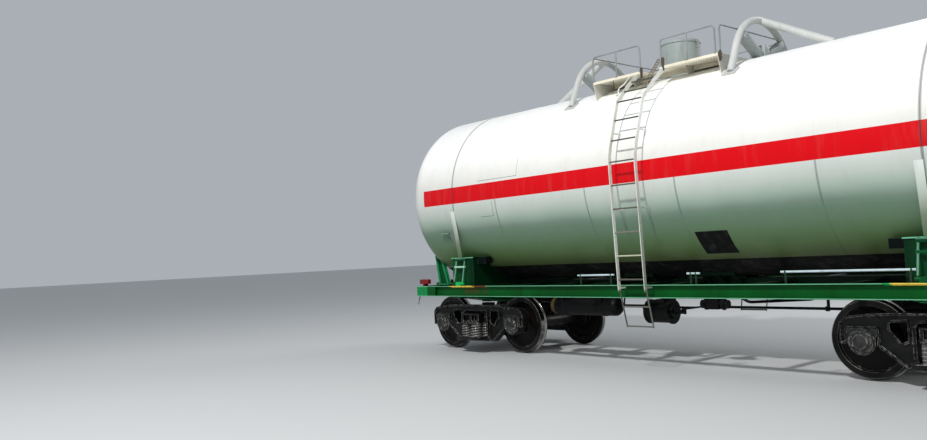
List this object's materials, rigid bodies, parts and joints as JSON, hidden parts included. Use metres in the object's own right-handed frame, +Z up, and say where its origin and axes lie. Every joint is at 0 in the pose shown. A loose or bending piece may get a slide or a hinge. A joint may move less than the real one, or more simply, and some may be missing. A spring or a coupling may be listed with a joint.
{
  "type": "railway tank car",
  "caption": "Railway tank car: a horizontal pressure tank strapped to saddles on a steel frame with sprung bogies, automatic couplers, side ladders, guard arches and a railed valve platform.",
  "frame": {"origin": "centre of the bounding box on the floor that the wheel flanges stand on", "axes": "+X along the car, +Y across it, +Z up"},
  "size_m": [12.426, 3.518, 4.9756],
  "materials": {
    "tank_paint": "gloss white paint, grimy towards the belly, with a red stripe",
    "frame_paint": "semi-gloss green paint, dusty",
    "ladder_paint": "off-white paint with rust runs",
    "deck_paint": "cream paint on chequered plate, rust spotted",
    "rail_paint": "thin grey paint",
    "hood_paint": "light grey paint",
    "cap_red": "faded red paint",
    "valve_steel": "bare steel fittings",
    "coupler_iron": "rough casting, brown with rust and grease",
    "underframe_black": "flat black paint under road dust",
    "bogie_iron": "rough black casting with brake dust",
    "spring_steel": "dull dark spring steel",
    "wheel_steel": "dark web and a polished tread",
    "axle_steel": "oily dark steel"
  },
  "bodies": {
    "car_body": {"tank": "tank_paint", "tank_straps": "tank_paint", "strap_tie_rods": "frame_paint", "saddles": "frame_paint", "end_struts": "frame_paint", "centre_sill": "frame_paint", "side_sills": "frame_paint", "end_sills": "frame_paint", "body_bolsters": "frame_paint", "cross_bearers": "frame_paint", "tank_feet": "frame_paint", "couplers": "coupler_iron", "strikers": "coupler_iron", "uncoupling_levers": "rail_paint", "brake_pipe": "underframe_black", "air_reservoir": "underframe_black", "brake_cylinder": "underframe_black", "side_ladders": "ladder_paint", "top_platform": "deck_paint", "railing_near": "rail_paint", "railing_far": "rail_paint", "end_rails": "rail_paint", "guard_arch_1": "ladder_paint", "guard_arch_2": "ladder_paint", "hood": "hood_paint", "manway_cover": "valve_steel", "tank_valves": "valve_steel", "corner_steps": "ladder_paint", "sill_pipes": "ladder_paint", "corner_caps": "cap_red"},
    "hood_lid": {"hood_lid": "hood_paint"},
    "bogie_1": {"side_frames_1": "bogie_iron", "springs_1": "spring_steel", "bogie_bolster_1": "bogie_iron", "axle_boxes_1": "bogie_iron", "brake_rigging_1": "bogie_iron"},
    "bogie_2": {"side_frames_2": "bogie_iron", "springs_2": "spring_steel", "bogie_bolster_2": "bogie_iron", "axle_boxes_2": "bogie_iron", "brake_rigging_2": "bogie_iron"},
    "wheelset_1": {"wheels_1": "wheel_steel", "axle_1": "axle_steel"},
    "wheelset_2": {"wheels_2": "wheel_steel", "axle_2": "axle_steel"},
    "wheelset_3": {"wheels_3": "wheel_steel", "axle_3": "axle_steel"},
    "wheelset_4": {"wheels_4": "wheel_steel", "axle_4": "axle_steel"}
  },
  "joints": [
    {"name": "bogie_1_swivel", "type": "hinge", "parent": "car_body", "child": "bogie_1", "pos_m": [-3.9, 0, 0.835], "axis": [0, 0, 1], "range_deg": [-4, 4]},
    {"name": "bogie_2_swivel", "type": "hinge", "parent": "car_body", "child": "bogie_2", "pos_m": [3.9, 0, 0.835], "axis": [0, 0, 1], "range_deg": [-4, 4]},
    {"name": "wheelset_1_spin", "type": "hinge", "parent": "bogie_1", "child": "wheelset_1", "pos_m": [-4.825, 0, 0.5065], "axis": [0, 1, 0], "continuous": true},
    {"name": "wheelset_2_spin", "type": "hinge", "parent": "bogie_1", "child": "wheelset_2", "pos_m": [-2.975, 0, 0.5065], "axis": [0, 1, 0], "continuous": true},
    {"name": "wheelset_3_spin", "type": "hinge", "parent": "bogie_2", "child": "wheelset_3", "pos_m": [2.975, 0, 0.5065], "axis": [0, 1, 0], "continuous": true},
    {"name": "wheelset_4_spin", "type": "hinge", "parent": "bogie_2", "child": "wheelset_4", "pos_m": [4.825, 0, 0.5065], "axis": [0, 1, 0], "continuous": true},
    {"name": "hood_lid_hinge", "type": "hinge", "parent": "car_body", "child": "hood_lid", "pos_m": [-0.324, 0, 4.87], "axis": [0, -1, 0], "range_deg": [0, 105]}
  ]
}
